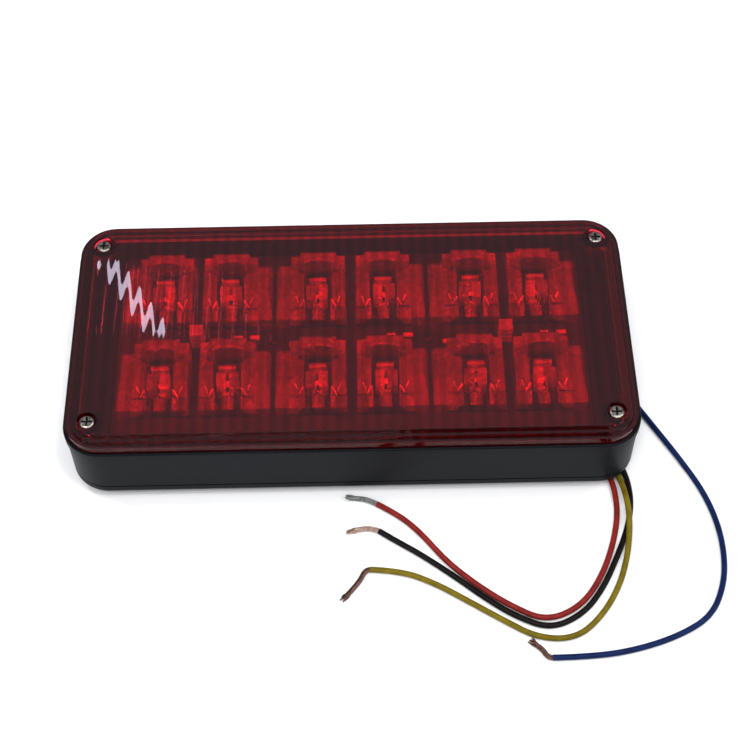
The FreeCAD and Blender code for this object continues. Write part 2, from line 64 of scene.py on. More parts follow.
# Lead wires: four 20 AWG hook-up leads in coloured PVC, two millimetres over the insulation.
# They leave the rubber gland under the base and lie loose on the surface; the yellow one
# crosses the black one in a long low hump just outside the housing.
MM = 0.001
WIRE_R = 1.0 * MM
LEAD_STEP = 2.3                        # from one lead to the next in the gland
BOOT_FRONT, BOOT_RIGHT = -4.9, 4.5     # faces of the gland's boot that the leads come out of
ON_FLOOR, OVER_BLACK, COMING_DOWN = 1.1, 3.8, 2.3       # heights of a lead's middle
gland_low, gland_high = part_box("wire_gland")
gland = (gland_low + gland_high) / 2
gland.z = 0.0

# Length of each lead in metres, its colour, and its route in millimetres from the gland's middle.
LEADS = {
    "red": (0.1823, (0.175, 0.012, 0.010), [
        (-LEAD_STEP, BOOT_FRONT, ON_FLOOR), (-LEAD_STEP, -13.9, ON_FLOOR), (2.1, -24.9, ON_FLOOR),
        (8.9, -35.4, ON_FLOOR), (14.5, -46.9, ON_FLOOR), (15.6, -59.4, ON_FLOOR),
        (12.9, -72.4, ON_FLOOR), (7.1, -86.4, ON_FLOOR), (-0.9, -96.8, ON_FLOOR),
        (-12.5, -101.5, ON_FLOOR), (-24.1, -95.3, ON_FLOOR), (-33.9, -88.0, ON_FLOOR),
        (-43.8, -78.9, ON_FLOOR), (-52.3, -67.4, ON_FLOOR), (-59.6, -60.3, ON_FLOOR),
        (-66.7, -56.0, ON_FLOOR)]),
    "black": (0.1822, (0.0050, 0.0033, 0.0031), [
        (LEAD_STEP, BOOT_FRONT, ON_FLOOR), (LEAD_STEP, -13.9, ON_FLOOR), (7.7, -24.7, ON_FLOOR),
        (15.1, -35.2, ON_FLOOR), (19.7, -45.9, ON_FLOOR), (20.5, -56.9, ON_FLOOR),
        (17.9, -67.8, ON_FLOOR), (13.1, -78.8, ON_FLOOR), (7.5, -89.9, ON_FLOOR),
        (0.3, -99.0, ON_FLOOR), (-10.9, -104.4, ON_FLOOR), (-22.3, -99.4, ON_FLOOR),
        (-31.7, -92.6, ON_FLOOR), (-41.9, -84.0, ON_FLOOR), (-52.5, -75.8, ON_FLOOR),
        (-59.9, -71.0, ON_FLOOR), (-66.2, -66.6, ON_FLOOR)]),
    "yellow": (0.1871, (0.138, 0.100, 0.004), [
        (0.0, BOOT_FRONT, ON_FLOOR), (0.0, -13.9, ON_FLOOR), (4.9, -24.8, ON_FLOOR),
        (12.0, -35.3, ON_FLOOR), (17.1, -46.4, ON_FLOOR), (18.4, -55.9, OVER_BLACK),
        (18.7, -65.9, OVER_BLACK), (17.1, -76.9, COMING_DOWN), (13.5, -88.2, ON_FLOOR),
        (6.9, -99.2, ON_FLOOR),
        (-2.5, -107.8, ON_FLOOR), (-15.1, -107.6, ON_FLOOR), (-26.9, -100.4, ON_FLOOR),
        (-38.3, -93.0, ON_FLOOR), (-48.1, -86.8, ON_FLOOR), (-59.0, -82.0, ON_FLOOR),
        (-69.5, -81.2, ON_FLOOR)]),
    "blue": (0.1753, (0.002, 0.011, 0.058), [
        (BOOT_RIGHT, 0.0, ON_FLOOR), (8.7, 0.0, ON_FLOOR), (12.8, -1.1, ON_FLOOR),
        (16.4, -3.2, ON_FLOOR), (19.4, -6.2, ON_FLOOR), (24.1, -13.5, ON_FLOOR),
        (32.1, -27.7, ON_FLOOR), (39.4, -41.0, ON_FLOOR), (45.4, -53.4, ON_FLOOR),
        (48.6, -65.4, ON_FLOOR), (49.4, -77.4, ON_FLOOR), (47.7, -89.2, ON_FLOOR),
        (42.1, -100.8, ON_FLOOR), (30.7, -107.6, ON_FLOOR), (16.7, -112.2, ON_FLOOR),
        (2.5, -114.4, ON_FLOOR), (-11.1, -114.5, ON_FLOOR)]),
}


def from_gland(points):
    """Route points in millimetres from the gland, as places in metres."""
    return [gland + Vector(p) * MM for p in points]


def smooth_line(name, places):
    """A NURBS line with those control points."""
    line = bpy.data.curves.new(name, "CURVE")
    line.dimensions = "3D"
    spline = line.splines.new("NURBS")
    spline.points.add(len(places) - 1)
    for point, place in zip(spline.points, places):
        point.co = (*place, 1.0)
    spline.order_u = 3
    spline.use_endpoint_u = True
    line.resolution_u = 12
    piece = bpy.data.objects.new(name, line)
    bpy.context.scene.collection.objects.link(piece)
    return piece


def new_material(name, colour, roughness):
    """A material and its shader, with colour and roughness set on the shader itself."""
    material = bpy.data.materials.new(name)
    material.use_nodes = True
    shader = material.node_tree.nodes["Principled BSDF"]
    shader.inputs["Base Color"].default_value = (*colour, 1.0)
    shader.inputs["Roughness"].default_value = roughness
    return material, shader


def add_node(material, kind, **settings):
    """A node; each setting is one of its properties, or else one of its inputs."""
    node = material.node_tree.nodes.new(kind)
    for name, value in settings.items():
        if hasattr(node, name):
            setattr(node, name, value)
        else:
            node.inputs[name.replace("_", " ")].default_value = value
    return node


def noise_on(material, scale, detail=2.0):
    """A noise texture on Object coordinates, scale in cycles per metre."""
    place = add_node(material, "ShaderNodeTexCoord")
    noise = add_node(material, "ShaderNodeTexNoise", Scale=scale, Detail=detail)
    material.node_tree.links.new(place.outputs["Object"], noise.inputs["Vector"])
    return noise


def vary_colour(material, shader, factor, colours):
    """Base colour runs between two colours, as factor goes from 0.3 to 0.7."""
    ramp = add_node(material, "ShaderNodeValToRGB")
    for stop, at, colour in zip(ramp.color_ramp.elements, (0.3, 0.7), colours):
        stop.position = at
        stop.color = (*colour, 1.0)
    material.node_tree.links.new(factor, ramp.inputs["Fac"])
    material.node_tree.links.new(ramp.outputs["Color"], shader.inputs["Base Color"])


def vary_roughness(material, shader, factor, low, high):
    """Roughness runs from low to high as factor goes from 0 to 1."""
    span = add_node(material, "ShaderNodeMapRange")
    span.inputs["To Min"].default_value = low
    span.inputs["To Max"].default_value = high
    material.node_tree.links.new(factor, span.inputs["Value"])
    material.node_tree.links.new(span.outputs["Result"], shader.inputs["Roughness"])


def raise_bumps(material, shader, height, depth):
    """Small relief, depth in metres."""
    bump = add_node(material, "ShaderNodeBump", Strength=1.0, Distance=depth)
    material.node_tree.links.new(height, bump.inputs["Height"])
    material.node_tree.links.new(bump.outputs["Normal"], shader.inputs["Normal"])


GRIME, SHEEN = 0.72, 1.25              # darkest and lightest marks, as shares of the colour


def pvc(colour_name, colour):
    """Extruded PVC: soft gloss, handling marks and a faint unevenness along the lead."""
    material, shader = new_material("pvc_" + colour_name, colour, 0.38)
    shader.inputs["Specular IOR Level"].default_value = 0.10
    marks = noise_on(material, 260.0, 3.0)
    dark = tuple(GRIME * c for c in colour)
    light = tuple(SHEEN * c + 0.001 for c in colour)
    vary_colour(material, shader, marks.outputs["Fac"], (dark, light))
    vary_roughness(material, shader, marks.outputs["Fac"], 0.30, 0.48)
    raise_bumps(material, shader, noise_on(material, 1400.0).outputs["Fac"], 0.00003)
    return material


# Stripped ends: the bare strands of each lead, a loose twist a little open at the tip.
# The red lead's strands are tinned; the other three are plain copper, dulled by handling.
STRANDS = 11
STRAND_R = 0.24 * MM
TWIST_R = 0.66 * MM
TWIST_PITCH = 9.0 * MM
TIP_SPREAD = 2.4 * MM
TUCKED_IN, STUB = 0.4 * MM, 1.6 * MM   # start inside the insulation, and straight run out of it
OPENS_AT = 0.45                        # share of the bare length where the twist starts to open
STRIPPED = {
    "red": [(-71.7, -53.6, 0.9), (-77.7, -53.0, 0.8)],
    "black": [(-72.7, -65.4, 0.9), (-77.8, -67.1, 0.8)],
    "yellow": [(-73.3, -86.3, 0.9), (-79.6, -93.0, 0.8)],
    "blue": [(-14.3, -111.0, 0.9), (-18.5, -107.9, 0.8)],
}


def bare_metal(name, colour, dull):
    """Drawn wire: metal whose colour drops to the dull one where it has tarnished."""
    material, shader = new_material(name, colour, 0.34)
    shader.inputs["Metallic"].default_value = 1.0
    tarnish = noise_on(material, 900.0, 3.0)
    vary_colour(material, shader, tarnish.outputs["Fac"], (dull, colour))
    vary_roughness(material, shader, tarnish.outputs["Fac"], 0.26, 0.5)
    return material


tinned = bare_metal("tinned_strands", (0.34, 0.35, 0.33), (0.09, 0.095, 0.09))
bright_copper = bare_metal("bright_copper_strands", (0.62, 0.47, 0.39), (0.30, 0.20, 0.15))
brown_copper = bare_metal("brown_copper_strands", (0.22, 0.115, 0.090), (0.075, 0.042, 0.034))
STRAND_FINISH = {"red": tinned, "black": bright_copper, "yellow": brown_copper,
                 "blue": brown_copper}


def line_places(piece):
    """The points of a curve's own smooth line."""
    bpy.context.view_layer.update()
    mesh = bpy.data.meshes.new_from_object(piece)
    return [vertex.co.copy() for vertex in mesh.vertices]


def twisted_bundle(name, route, chance):
    """Fine strands wound round the route's smooth line, one straight one at the core."""
    guide = smooth_line(name + "_guide", route)
    line = line_places(guide)
    bpy.data.objects.remove(guide)
    bundle = bpy.data.curves.new(name, "CURVE")
    bundle.dimensions = "3D"
    bundle.bevel_depth = STRAND_R
    bundle.bevel_resolution = 1
    bundle.use_fill_caps = True
    total = sum((b - a).length for a, b in zip(line, line[1:]))
    for strand in range(STRANDS):
        phase = 2 * math.pi * strand / (STRANDS - 1)
        reach = 0.0 if strand == 0 else TWIST_R
        cut = chance.uniform(0.90, 1.0)
        lean = Vector((chance.uniform(-1, 1), chance.uniform(-1, 1), chance.uniform(-0.1, 0.5)))
        gone = 0.0
        places = []
        for here, after in zip(line, line[1:]):
            share = gone / total
            if share > cut:
                break
            along = (after - here).normalized()
            side = along.cross(Vector((0, 0, 1))).normalized()
            rise = side.cross(along)
            angle = phase + 2 * math.pi * gone / TWIST_PITCH
            spread = lean * TIP_SPREAD * max(0.0, share - OPENS_AT) ** 2
            place = here + side * reach * math.cos(angle) + rise * reach * math.sin(angle) + spread
            place.z = max(place.z, STRAND_R * 1.05)
            places.append(place)
            gone += (after - here).length
        spline = bundle.splines.new("POLY")
        spline.points.add(len(places) - 1)
        for point, place in zip(spline.points, places):
            point.co = (*place, 1.0)
    curve = bpy.data.objects.new(name + "_curve", bundle)
    bpy.context.scene.collection.objects.link(curve)
    bpy.context.view_layer.update()
    piece = bpy.data.objects.new(name, bpy.data.meshes.new_from_object(curve))
    bpy.context.scene.collection.objects.link(piece)
    bpy.data.objects.remove(curve)
    return piece


chance = random.Random(7)
for colour_name, (length, colour, points) in LEADS.items():
    places = from_gland(points)
    wire = smooth_line(colour_name + "_lead", places)
    wire.data.bevel_depth = WIRE_R
    wire.data.bevel_resolution = 6
    wire.data.use_fill_caps = True
    wire.data.materials.append(pvc(colour_name, colour))
    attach(wire, "root")
    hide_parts(colour_name + "_wire")

    run = (places[-1] - places[-2]).normalized()
    route = [places[-1] - run * TUCKED_IN, places[-1] + run * STUB]
    route += from_gland(STRIPPED[colour_name])
    end = twisted_bundle(colour_name + "_stripped_end", route, chance)
    end.data.materials.append(STRAND_FINISH[colour_name])
    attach(end, "root")
    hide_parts(colour_name + "_strands")
    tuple(places[0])


# Housing: a deep tub moulded in black ABS with a collar round the rim. The moulding has a fine
# spark-eroded grain, a little shinier in the patches where it has been handled.
housing_black, shader = new_material("housing_black", (0.004, 0.0048, 0.0062), 0.42)
shader.inputs["Specular IOR Level"].default_value = 0.06
grain = noise_on(housing_black, 2600.0, 3.0)
raise_bumps(housing_black, shader, grain.outputs["Fac"], 0.00002)
smears = noise_on(housing_black, 34.0, 4.0)
vary_roughness(housing_black, shader, smears.outputs["Fac"], 0.32, 0.50)
vary_colour(housing_black, shader, smears.outputs["Fac"],
            ((0.0026, 0.0032, 0.0042), (0.0050, 0.0060, 0.0080)))


def finish_node(name, material):
    """A CAD node keeps its shape and takes this material."""
    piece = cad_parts[name]
    piece.data.materials.clear()
    piece.data.materials.append(material)


finish_node("housing", housing_black)


# Gasket: a ring die-cut from closed-cell foam, three millimetres thick and stuck under the base.
# It is matt black, and the cells that the die cut open show as fine pits.
foam, shader = new_material("gasket_foam", (0.013, 0.013, 0.014), 0.88)
cells = noise_on(foam, 3200.0, 2.0)
raise_bumps(foam, shader, cells.outputs["Fac"], 0.00008)
vary_colour(foam, shader, cells.outputs["Fac"], ((0.006, 0.006, 0.007), (0.022, 0.022, 0.024)))
finish_node("mounting_gasket", foam)


# Rubber gland and rim seal: moulded black rubber that has gone a little grey with bloom. The
# gland is pulled through the floor by its lip, and the seal is laid in a groove of the rim.
rubber, shader = new_material("black_rubber", (0.018, 0.018, 0.018), 0.7)
bloom = noise_on(rubber, 420.0, 3.0)
vary_colour(rubber, shader, bloom.outputs["Fac"], ((0.011, 0.011, 0.011), (0.032, 0.031, 0.030)))
raise_bumps(rubber, shader, bloom.outputs["Fac"], 0.00003)
finish_node("wire_gland", rubber)
finish_node("lens_seal", rubber)


# Inserts in the back: four threaded brass sleeves, turned from bar and pressed hot into their
# bosses. Turning leaves them bright, with fine uneven marks.
brass, shader = new_material("insert_brass", (0.66, 0.44, 0.17), 0.3)
shader.inputs["Metallic"].default_value = 1.0
turning = noise_on(brass, 1500.0, 2.0)
vary_roughness(brass, shader, turning.outputs["Fac"], 0.22, 0.42)
finish_node("mounting_inserts", brass)


# Circuit board: glass-fibre board under black solder mask, held on its bosses by four screws.
# The copper pours under the mask show as slightly raised areas with crisp edges.
board_mask, shader = new_material("board_mask", (0.010, 0.010, 0.012), 0.34)
shader.inputs["Coat Weight"].default_value = 0.2
place = add_node(board_mask, "ShaderNodeTexCoord")
pours = add_node(board_mask, "ShaderNodeTexVoronoi", distance="CHEBYCHEV", Scale=120.0)
board_mask.node_tree.links.new(place.outputs["Object"], pours.inputs["Vector"])
vary_colour(board_mask, shader, pours.outputs["Distance"],
            ((0.008, 0.008, 0.009), (0.020, 0.020, 0.024)))
raise_bumps(board_mask, shader, pours.outputs["Distance"], 0.00004)
finish_node("circuit_board", board_mask)


# Parts on the board: chips moulded in epoxy, a sintered ferrite inductor, fired ceramic chips,
# bare aluminium cans, and a header and two spacer posts moulded in natural nylon. All are
# soldered down or clipped in, and each stuff has its own mottle.
def plain_part(name, dark, light, roughness, scale, metal=0.0):
    """A mottled matt material, its grain at scale in cycles per metre."""
    material, part_shader = new_material(name, light, roughness)
    part_shader.inputs["Metallic"].default_value = metal
    mottle = noise_on(material, scale, 3.0)
    vary_colour(material, part_shader, mottle.outputs["Fac"], (dark, light))
    raise_bumps(material, part_shader, mottle.outputs["Fac"], 0.00002)
    return material


epoxy = plain_part("moulded_epoxy", (0.012, 0.012, 0.012), (0.028, 0.028, 0.028), 0.55, 2400.0)
ferrite = plain_part("sintered_ferrite", (0.05, 0.05, 0.055), (0.11, 0.11, 0.12), 0.6, 1800.0)
ceramic = plain_part("fired_ceramic", (0.26, 0.19, 0.13), (0.48, 0.38, 0.28), 0.5, 1800.0)
can = plain_part("capacitor_can", (0.55, 0.55, 0.57), (0.78, 0.78, 0.80), 0.3, 900.0, 1.0)
nylon = plain_part("natural_nylon", (0.20, 0.19, 0.18), (0.30, 0.28, 0.26), 0.5, 700.0)
for name in ("driver_chips", "flash_chip", "diodes", "inner_leads"):
    finish_node(name, epoxy)
finish_node("inductor", ferrite)
finish_node("ceramic_capacitors", ceramic)
finish_node("resistors", ceramic)
finish_node("smoothing_capacitors", can)
finish_node("wire_header", nylon)
for number in (1, 2):
    finish_node("spacer_post_%d" % number, nylon)


# LEDs: twelve surface-mount packages, each a white ceramic base with a clear silicone dome
# cast over the die. The phosphor under the dome gives the warm uneven tint.
led_finish, shader = new_material("led_package", (0.85, 0.80, 0.66), 0.3)
shader.inputs["Coat Weight"].default_value = 0.6
phosphor = noise_on(led_finish, 1500.0, 2.0)
vary_colour(led_finish, shader, phosphor.outputs["Fac"], ((0.78, 0.70, 0.50), (0.92, 0.90, 0.82)))
for number in range(1, 13):
    finish_node("led_%02d" % number, led_finish)


# Optics: clear acrylic blocks moulded in one piece, each over one LED. A tall arched crown
# stands at the back, then a deep dip, twin columns over the LED, sloping cheeks, a low bar in
# front, and one side wing. They are modelled once and copied, turned over for the other hand.
def add_block(low, high, finish):
    """A cube primitive from one corner to the other, millimetres from the optic's inner side."""
    bpy.ops.object.select_all(action="DESELECT")
    bpy.ops.mesh.primitive_cube_add(size=1.0)
    block = bpy.context.object
    low, high = Vector(low) * MM, Vector(high) * MM
    block.scale = high - low
    block.location = (low + high) / 2
    bpy.ops.object.transform_apply(location=True, rotation=True, scale=True)
    block.data.materials.append(finish)
    return block


def plane_cut(block, point, normal):
    """Bisect away what lies on the normal's side of the plane, and close the cut."""
    bpy.ops.object.select_all(action="DESELECT")
    bpy.context.view_layer.objects.active = block
    block.select_set(True)
    bpy.ops.object.mode_set(mode="EDIT")
    bpy.ops.mesh.select_all(action="SELECT")
    bpy.ops.mesh.bisect(plane_co=Vector(point) * MM, plane_no=normal, use_fill=True,
                        clear_outer=True)
    bpy.ops.object.mode_set(mode="OBJECT")


def combine(piece, other, operation):
    """Boolean of two pieces, each face keeping its finish; the other piece is used up."""
    step = piece.modifiers.new("combine", "BOOLEAN")
    step.operation = operation
    step.object = other
    step.solver = "MANIFOLD"
    step.material_mode = "TRANSFER"
    bpy.ops.object.select_all(action="DESELECT")
    bpy.context.view_layer.objects.active = piece
    piece.select_set(True)
    bpy.ops.object.modifier_apply(modifier=step.name)
    bpy.data.objects.remove(other)


def let_lamps_through(material, shader, tint):
    """Lamps shine through: the material is a plain filter of this tint for shadow rays."""
    tree = material.node_tree
    path = add_node(material, "ShaderNodeLightPath")
    clear = add_node(material, "ShaderNodeBsdfTransparent")
    clear.inputs["Color"].default_value = (*tint, 1.0)
    mix = add_node(material, "ShaderNodeMixShader")
    tree.links.new(path.outputs["Is Shadow Ray"], mix.inputs["Fac"])
    tree.links.new(shader.outputs["BSDF"], mix.inputs[1])
    tree.links.new(clear.outputs["BSDF"], mix.inputs[2])
    tree.links.new(mix.outputs["Shader"], tree.nodes["Material Output"].inputs["Surface"])


# The acrylic is clear where the mould was polished and hazy where it was left plain.
FLOW_TINTS = (0.50, 0.47, 0.48), (1.0, 0.97, 0.98)


def acrylic(name, clear, low, high, relief):
    """Acrylic that lets that share of light through, roughness from low to high."""
    material, shader = new_material(name, (0.97, 0.93, 0.93), low)
    shader.inputs["Transmission Weight"].default_value = clear
    shader.inputs["IOR"].default_value = 1.49
    flow = noise_on(material, 520.0, 4.0)
    vary_roughness(material, shader, flow.outputs["Fac"], low, high)
    raise_bumps(material, shader, flow.outputs["Fac"], relief)
    vary_colour(material, shader, noise_on(material, 700.0, 4.0).outputs["Fac"], FLOW_TINTS)
    let_lamps_through(material, shader, (0.88, 0.86, 0.86))
    return material


polished = acrylic("polished_acrylic", 0.99, 0.0, 0.03, 0.00005)
plain = acrylic("plain_acrylic", 0.86, 0.01, 0.12, 0.00030)
glinting = acrylic("glinting_acrylic", 0.20, 0.02, 0.20, 0.00010)
hazy = acrylic("hazy_acrylic", 0.74, 0.03, 0.25, 0.00060)


def soften_edges(piece, width, segments, sharper_than):
    """Round the edges sharper than that many degrees; faces between them stay flat in shading."""
    edges = piece.modifiers.new("edges", "BEVEL")
    edges.width = width
    edges.segments = segments
    edges.angle_limit = math.radians(sharper_than)
    flat = piece.modifiers.new("flat", "WEIGHTED_NORMAL")
    flat.keep_sharp = True
    bpy.ops.object.select_all(action="DESELECT")
    bpy.context.view_layer.objects.active = piece
    piece.select_set(True)
    bpy.ops.object.modifier_apply(modifier=edges.name)
    bpy.ops.object.shade_smooth_by_angle(angle=math.radians(sharper_than + 10))
    bpy.ops.object.modifier_apply(modifier=flat.name)
    return piece


# Sizes are in millimetres: x from the optic's inner side, y from its middle towards the crown,
# z up from the board.
optic_low, optic_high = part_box("optic_02")
OPTIC_W = 19.5
OPTIC_H = (optic_high.z - optic_low.z) / MM
HALF_D = (optic_high.y - optic_low.y) / MM / 2
WING_W = (optic_high.x - optic_low.x) / MM - OPTIC_W
MID = OPTIC_W / 2
PLATE_H = 1.4
CROWN_D, CROWN_FROM, CROWN_TO = 5.2, 3.4, 16.1
CHEEK_H, RIB_H, RIB_PITCH = OPTIC_H - 2.4, 9.0, 2.9
BAR_BACK, BAR_H = -8.4, 3.6
TEETH, TOOTH_PITCH, TOOTH_H = 6, 2.2, 5.4
FOOT_W, FOOT_D, FOOT_H = 4.2, 5.0, 6.6
SLIVER_HALF_W, SLIVER_HALF_D, SLIVER_H = 0.22, 1.3, 7.6
WING_H, WING_LAP = OPTIC_H - 3.2, 0.35
DIP_R, DIP_DEPTH_SHARE, DIP_Y = 7.2, 0.38, 5.7
POCKET_HALF_W, POCKET_Y, POCKET_TOP = 2.15, (-3.15, 1.15), 2.85
OPTIC_EDGE = 0.14 * MM


def crown_and_ears():
    """The tall block at the back, sloped all round its top, and a lower one at each end."""
    crown = add_block((CROWN_FROM, HALF_D - CROWN_D, 0), (CROWN_TO, HALF_D, OPTIC_H), plain)
    plane_cut(crown, (CROWN_FROM, 0, OPTIC_H - 0.9), (-0.28, 0, 1))
    plane_cut(crown, (CROWN_TO, 0, OPTIC_H - 0.9), (0.28, 0, 1))
    plane_cut(crown, (MID, HALF_D - 1.6, OPTIC_H), (0, 0.8, 1))
    plane_cut(crown, (MID, HALF_D - 3.8, OPTIC_H), (0, -0.5, 1))
    yield crown
    for low_x, high_x, lean, finish in ((0.3, 4.4, -0.16, hazy), (15.1, 19.2, 0.16, plain)):
        ear = add_block((low_x, HALF_D - 5.0, 0), (high_x, HALF_D - 0.4, OPTIC_H - 0.6), finish)
        plane_cut(ear, (MID + lean * 36, 0, OPTIC_H - 1.4), (lean, 0.1, 1))
        plane_cut(ear, (MID, HALF_D - 3.6, OPTIC_H - 1.2), (0, -0.6, 1))
        yield ear


def studs():
    """Four narrow upright prisms in the crown, each with two slopes to catch the light."""
    for x, half_w, finish in ((5.2, 0.9, hazy), (8.2, 0.5, polished), (11.0, 1.1, hazy),
                              (14.6, 0.6, plain)):
        stud = add_block((x - half_w, HALF_D - 4.6, 0), (x + half_w, HALF_D - 0.5, OPTIC_H - 0.1),
                         finish)
        plane_cut(stud, (x, HALF_D - 2.6, OPTIC_H - 0.3), (0.4, -0.6, 1))
        plane_cut(stud, (x, HALF_D - 2.0, OPTIC_H - 0.3), (-0.4, 0.9, 1))
        yield stud


def bridge_and_columns():
    """A ridged bridge behind the LED, twin columns over it, and a thin web between them."""
    bridge = add_block((6.7, 0.4, 0), (12.8, 2.2, OPTIC_H - 1.6), hazy)
    plane_cut(bridge, (MID, 1.3, OPTIC_H - 1.6), (0, 0.7, 1))
    plane_cut(bridge, (MID, 0.9, OPTIC_H - 1.6), (0, -0.7, 1))
    yield bridge
    for low_x, high_x, lean, finish in ((6.2, MID - 0.35, -0.3, hazy),
                                        (MID + 0.75, 13.9, 0.3, plain)):
        column = add_block((low_x, -6.6, 0), (high_x, -1.0, OPTIC_H - 1.4), finish)
        plane_cut(column, (MID, -2.6, OPTIC_H - 1.4), (0, 0.36, 1))
        plane_cut(column, (MID, -4.2, OPTIC_H - 1.9), (0, -0.8, 1))
        plane_cut(column, (MID, 0, OPTIC_H - 0.4), (lean, 0, 1))
        yield column
    yield add_block((MID - 0.5, -6.0, 0), (MID + 0.5, 1.2, OPTIC_H - 6.2), polished)


def cheeks_with_ribs():
    """A sloping block on each side of the columns, with three sharp ribs across it."""
    for low_x, high_x, lean in ((0.2, 5.0, -0.5), (14.5, OPTIC_W - 0.2, 0.5)):
        cheek = add_block((low_x, BAR_BACK, 0), (high_x, HALF_D - 5.4, CHEEK_H), plain)
        plane_cut(cheek, (MID + math.copysign(MID - 2.6, lean), 0, CHEEK_H), (lean, 0, 1))
        plane_cut(cheek, (MID, -1.6, CHEEK_H - 0.2), (0, -0.42, 1))
        plane_cut(cheek, (MID, HALF_D - 8.0, CHEEK_H - 0.2), (0, 0.6, 1))
        yield cheek
        for level, finish in enumerate((hazy, plain, polished)):
            rib_y, rib_top = 3.4 - RIB_PITCH * level, RIB_H - level
            rib = add_block((low_x + 0.3, rib_y - 0.6, 0), (high_x - 0.3, rib_y + 0.6, rib_top),
                            finish)
            plane_cut(rib, (MID, rib_y, rib_top), (0, 0.9, 1))
            plane_cut(rib, (MID, rib_y, rib_top), (lean, -0.9, 1))
            yield rib


def bar_with_teeth():
    """The low bar along the front, with a row of wedges leaning left and right by turns."""
    bar = add_block((3.2, -HALF_D, 0), (16.4, BAR_BACK, BAR_H), polished)
    plane_cut(bar, (MID, -HALF_D + 1.0, BAR_H), (0, -0.9, 1))
    yield bar
    for tooth in range(TEETH):
        x = 4.3 + TOOTH_PITCH * tooth
        wedge = add_block((x - 1.05, -HALF_D + 0.7, 0), (x + 1.05, -8.0, TOOTH_H),
                          (hazy, polished, plain)[tooth % 3])
        plane_cut(wedge, (x, 0, TOOTH_H - 0.6), (0.9 if tooth % 2 else -0.9, 0, 1))
        plane_cut(wedge, (x, -HALF_D + 2.2, TOOTH_H - 0.4), (0, -0.8, 1))
        yield wedge


def feet():
    """A steep four-sided peak at each front corner."""
    for low_x, finish in ((0.0, plain), (OPTIC_W - FOOT_W, hazy)):
        foot = add_block((low_x, -HALF_D, 0), (low_x + FOOT_W, -HALF_D + FOOT_D, FOOT_H), finish)
        for x, y in ((1, 0), (-1, 0), (0, 1), (0, -1)):
            peak = (low_x + FOOT_W / 2 + 0.7 * x, -HALF_D + FOOT_D / 2 + 0.7 * y, FOOT_H - 0.2)
            plane_cut(foot, peak, (1.3 * x, 1.3 * y, 1))
        yield foot


def slivers():
    """Thin upright blades near the front corners, turned so that they flash."""
    for x, y, turn_to in ((2.6, -6.2, 0.5), (4.4, -7.4, -0.6), (15.4, -7.2, 0.7), (17.2, -6.0, -0.4)):
        sliver = add_block((x - SLIVER_HALF_W, y - SLIVER_HALF_D, 0.6),
                           (x + SLIVER_HALF_W, y + SLIVER_HALF_D, SLIVER_H), glinting)
        plane_cut(sliver, (x, y, SLIVER_H - 0.4), (0.7, -0.7, 1))
        bpy.ops.object.mode_set(mode="EDIT")
        bpy.ops.mesh.select_all(action="SELECT")
        bpy.ops.transform.rotate(value=-turn_to, orient_axis="Z",
                                 center_override=(x * MM, y * MM, 0))
        bpy.ops.object.mode_set(mode="OBJECT")
        yield sliver


def side_wing():
    """The lower block on the outer side, sloped at its end, back and front."""
    wing = add_block((OPTIC_W - WING_LAP, -HALF_D, 0), (OPTIC_W + WING_W, HALF_D - 4.0, WING_H),
                     plain)
    plane_cut(wing, (OPTIC_W + WING_W - 1.5, 0, WING_H), (0.95, 0, 0.55))
    plane_cut(wing, (OPTIC_W, HALF_D - 5.4, WING_H), (0, 0.5, 1))
    plane_cut(wing, (OPTIC_W, -2.0, WING_H), (0, -0.3, 1))
    yield wing


def model_optic():
    """The blocks joined on one plate, less the dip before the crown and the LED's pocket."""
    optic = add_block((0, -HALF_D, 0), (OPTIC_W, HALF_D, PLATE_H), polished)
    for part in (*crown_and_ears(), *studs(), *bridge_and_columns(), *cheeks_with_ribs(),
                 *bar_with_teeth(), *feet(), *slivers(), *side_wing()):
        combine(optic, part, "UNION")

    bpy.ops.object.select_all(action="DESELECT")
    bpy.ops.mesh.primitive_cylinder_add(vertices=48, radius=DIP_R * MM, depth=14 * MM,
                                        location=(MID * MM, DIP_Y * MM, 9 * MM))
    dip = bpy.context.object
    dip.scale = (1.0, DIP_DEPTH_SHARE, 1.0)
    bpy.ops.object.transform_apply(location=True, rotation=True, scale=True)
    dip.data.materials.append(polished)
    combine(optic, dip, "DIFFERENCE")
    pocket = add_block((MID - POCKET_HALF_W, POCKET_Y[0], -1),
                       (MID + POCKET_HALF_W, POCKET_Y[1], POCKET_TOP), polished)
    combine(optic, pocket, "DIFFERENCE")
    return soften_edges(optic, OPTIC_EDGE, segments=2, sharper_than=25)


optic_model = model_optic()
for number in range(1, 13):
    node_name = "optic_%02d" % number
    low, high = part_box(node_name)
    other_hand = number % 2 == 1
    mesh = optic_model.data.copy()
    inner_side = Vector((high.x if other_hand else low.x, (low.y + high.y) / 2, low.z))
    if other_hand:
        mesh.transform(Matrix.Translation(inner_side) @ Matrix.Scale(-1, 4, (1, 0, 0)))
        mesh.flip_normals()
    else:
        mesh.transform(Matrix.Translation(inner_side))
    piece = bpy.data.objects.new("clear_optic_%02d" % number, mesh)
    bpy.context.scene.collection.objects.link(piece)
    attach(piece, "root")
    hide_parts(node_name)
bpy.data.objects.remove(optic_model)


